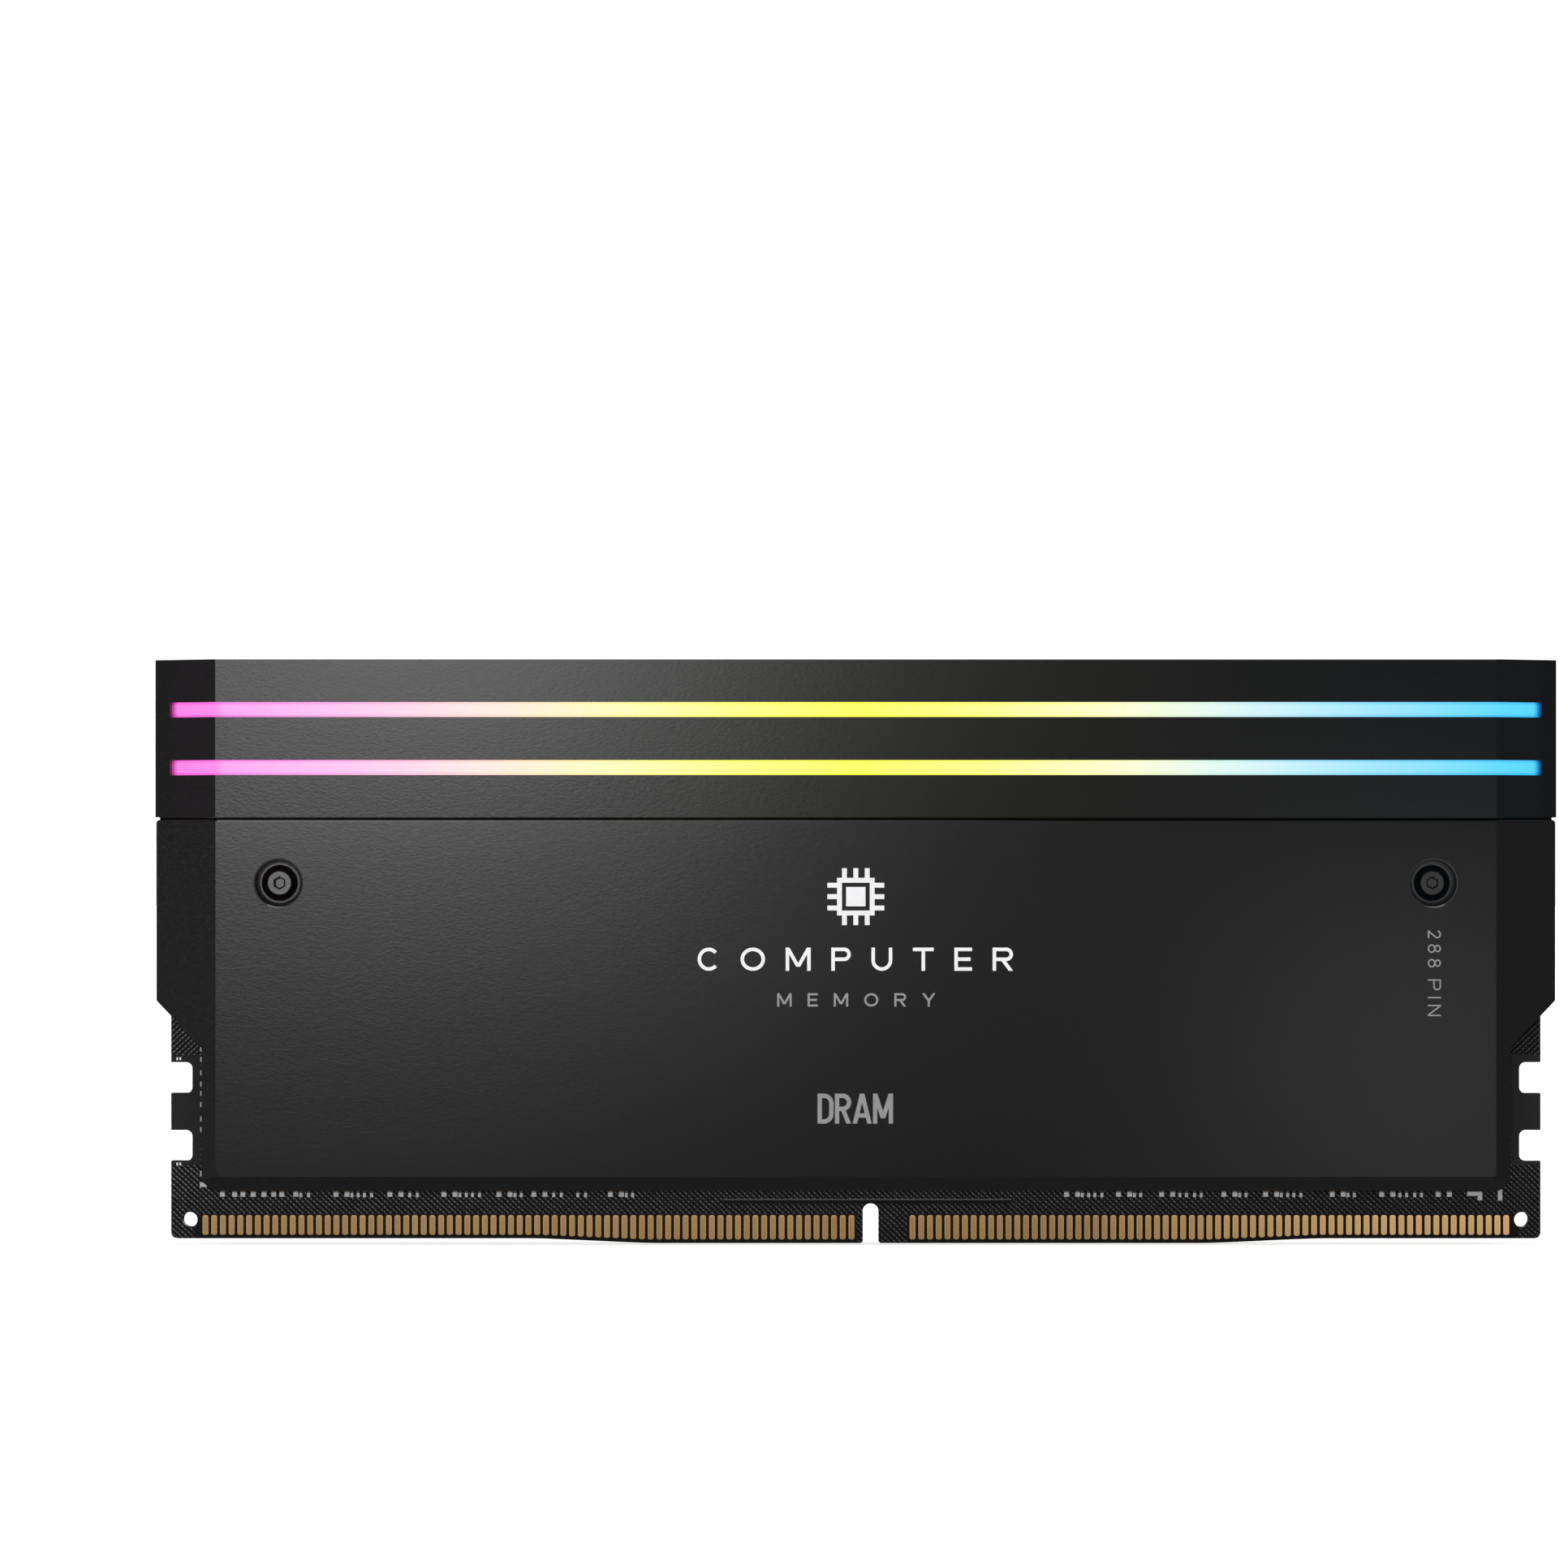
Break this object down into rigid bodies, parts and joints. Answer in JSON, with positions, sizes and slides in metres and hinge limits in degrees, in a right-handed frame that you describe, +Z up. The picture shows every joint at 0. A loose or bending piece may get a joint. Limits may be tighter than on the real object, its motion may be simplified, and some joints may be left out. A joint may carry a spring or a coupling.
{
  "type": "ram module",
  "caption": "Tall desktop memory module: gold-edged circuit board between black aluminium heat spreader plates, under a screwed-on top bar with long glowing slots along both faces.",
  "frame": {"origin": "middle of the contact edge, at its lowest line, half way through the board's thickness", "axes": "+X along the module to the right as seen from the front, -Y out of the front face, +Z up from the contact edge to the top bar"},
  "size_m": [0.136, 0.0076, 0.0567],
  "materials": {
    "black_anodised": "black anodised, fine satin grain",
    "board_mask": "black solder mask over a fine glass weave",
    "capacitor_brown": "fired ceramic",
    "chip_black": "moulded epoxy, matt",
    "contact_gold": "gold plated, satin",
    "ferrite_grey": "ferrite, matt",
    "guide_glow": "milky, lit from inside",
    "insert_brass": "turned",
    "lens_clear": "clear resin",
    "package_white": "moulded",
    "pad_grey": "soft, matt",
    "resistor_black": "glazed black",
    "screw_black": "black oxide",
    "solder_tin": "tinned, satin"
  },
  "bodies": {
    "root": {"bulk_capacitors": "capacitor_brown", "capacitor_bodies_front": "capacitor_brown", "capacitor_bodies_rear": "capacitor_brown", "circuit_board": "board_mask", "configuration_hub_chip": "chip_black", "contacts_front": "contact_gold", "contacts_rear": "contact_gold", "heat_spreader_front": "black_anodised", "heat_spreader_rear": "black_anodised", "light_controller_chip": "chip_black", "light_guide_front": "guide_glow", "light_guide_rear": "guide_glow", "light_lenses_front": "lens_clear", "light_lenses_rear": "lens_clear", "light_packages_front": "package_white", "light_packages_rear": "package_white", "memory_chip_front_1": "chip_black", "memory_chip_front_2": "chip_black", "memory_chip_front_3": "chip_black", "memory_chip_front_4": "chip_black", "memory_chip_front_5": "chip_black", "memory_chip_front_6": "chip_black", "memory_chip_front_7": "chip_black", "memory_chip_front_8": "chip_black", "memory_chip_rear_1": "chip_black", "memory_chip_rear_2": "chip_black", "memory_chip_rear_3": "chip_black", "memory_chip_rear_4": "chip_black", "memory_chip_rear_5": "chip_black", "memory_chip_rear_6": "chip_black", "memory_chip_rear_7": "chip_black", "memory_chip_rear_8": "chip_black", "metal_ends_front": "solder_tin", "metal_ends_rear": "solder_tin", "power_chip_pad": "pad_grey", "power_coils": "ferrite_grey", "power_management_chip": "chip_black", "probe_pads": "solder_tin", "resistor_bodies_front": "resistor_black", "resistor_bodies_rear": "resistor_black", "screw_left": "screw_black", "screw_right": "screw_black", "side_capacitor_bodies": "capacitor_brown", "side_metal_ends": "solder_tin", "thermal_pad_front_left": "pad_grey", "thermal_pad_front_right": "pad_grey", "thermal_pad_rear_left": "pad_grey", "thermal_pad_rear_right": "pad_grey", "threaded_insert_left": "insert_brass", "threaded_insert_right": "insert_brass", "top_bar": "black_anodised"}
  },
  "joints": []
}
